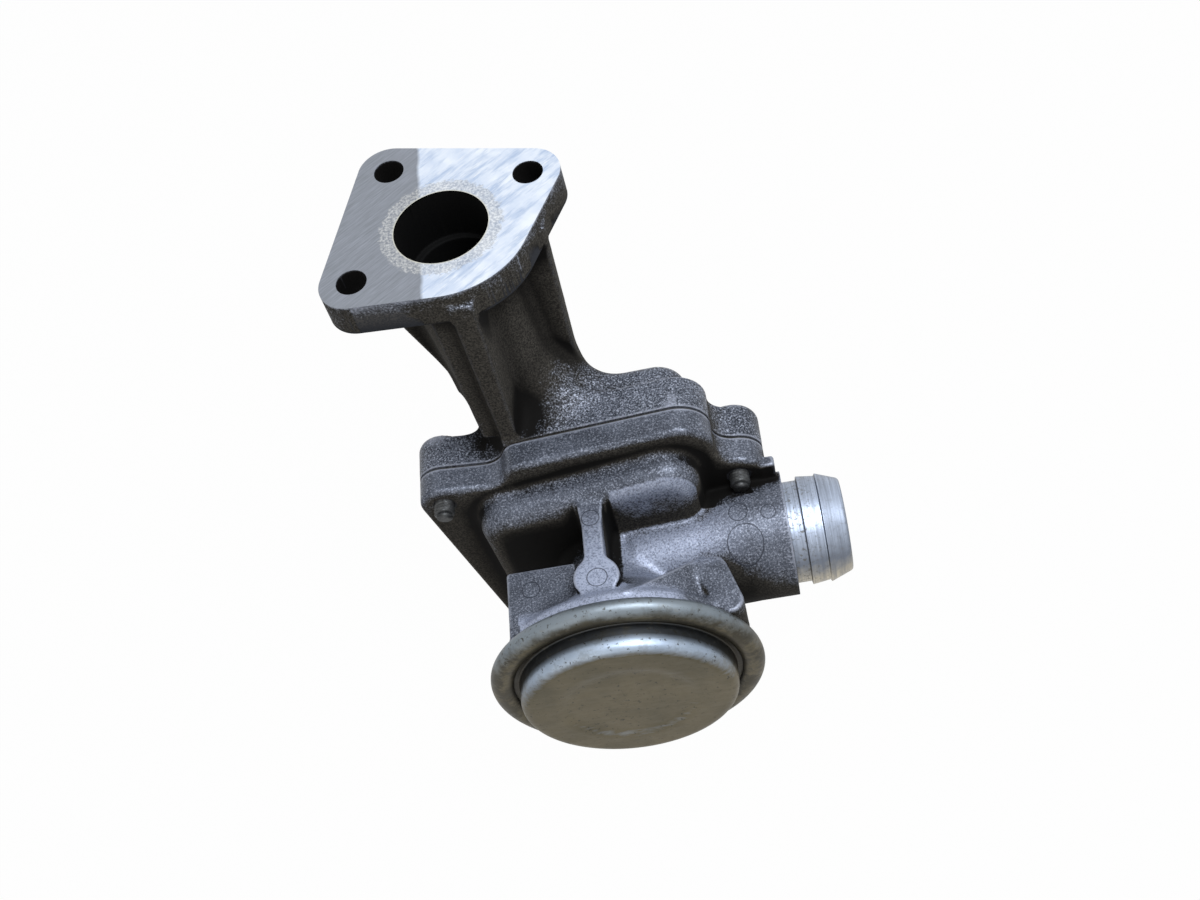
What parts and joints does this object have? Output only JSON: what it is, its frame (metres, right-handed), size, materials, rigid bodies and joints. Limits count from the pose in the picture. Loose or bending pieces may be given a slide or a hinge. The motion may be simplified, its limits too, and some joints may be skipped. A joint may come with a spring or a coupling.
{
  "type": "engine air valve",
  "caption": "Secondary-air valve with a spring-closed diaphragm valve and a reed valve in a split die-cast housing, a bolted outlet flange, a side hose nipple and a crimped diaphragm can.",
  "frame": {"origin": "centre of the outlet bore on the machined flange face", "axes": "+Z leaves the flange face along the outlet bore, +X is the way the hose nipple points, and the diaphragm can faces -Y"},
  "size_m": [0.1057, 0.1046, 0.127],
  "materials": {
    "casting": "rough die-cast skin with grime",
    "gasket": "matte",
    "screw_steel": "satin",
    "sheet_steel": "satin",
    "spring_steel": "satin",
    "turned_aluminium": "turned",
    "rubber": "matte",
    "stem_steel": "ground",
    "guide_plastic": "matte",
    "zinc_plate": "plated sheet, dulled"
  },
  "bodies": {
    "housing": {"outlet_housing": "casting", "valve_housing": "casting", "housing_gasket": "gasket", "housing_screws": "screw_steel", "reed_plate": "sheet_steel", "reed_root_strip": "spring_steel", "reed_stop": "sheet_steel", "reed_screws": "screw_steel", "inlet_nipple": "turned_aluminium", "valve_seat_ring": "turned_aluminium", "stem_guide": "guide_plastic", "stem_seal": "rubber", "seal_retainer": "sheet_steel", "diaphragm": "rubber", "closing_spring": "spring_steel", "diaphragm_can": "zinc_plate", "clamp_ring": "zinc_plate"},
    "valve": {"valve_stem": "stem_steel", "valve_disc": "sheet_steel", "disc_seal": "rubber", "stem_nut": "screw_steel", "inner_plate": "sheet_steel", "spring_cup": "zinc_plate", "plate_nut": "screw_steel"},
    "petal_left": {"reed_petal_left": "spring_steel"},
    "petal_right": {"reed_petal_right": "spring_steel"}
  },
  "joints": [
    {"name": "valve_slide", "type": "slide", "parent": "housing", "child": "valve", "axis": [0, -1, 0], "range_m": [0, 0.0045], "stiffness_N_per_m": 2500, "springref_m": -0.006, "deforming": ["closing_spring", "diaphragm"]},
    {"name": "petal_left_flex", "type": "hinge", "parent": "housing", "child": "petal_left", "pos_m": [0.0085, -0.0224, -0.1075], "axis": [-1, 0, 0], "range_deg": [0, 12], "stiffness_Nm_per_rad": 0.02, "springref_deg": -2.86},
    {"name": "petal_right_flex", "type": "hinge", "parent": "housing", "child": "petal_right", "pos_m": [0.0295, -0.0224, -0.1075], "axis": [-1, 0, 0], "range_deg": [0, 12], "stiffness_Nm_per_rad": 0.02, "springref_deg": -2.86}
  ]
}
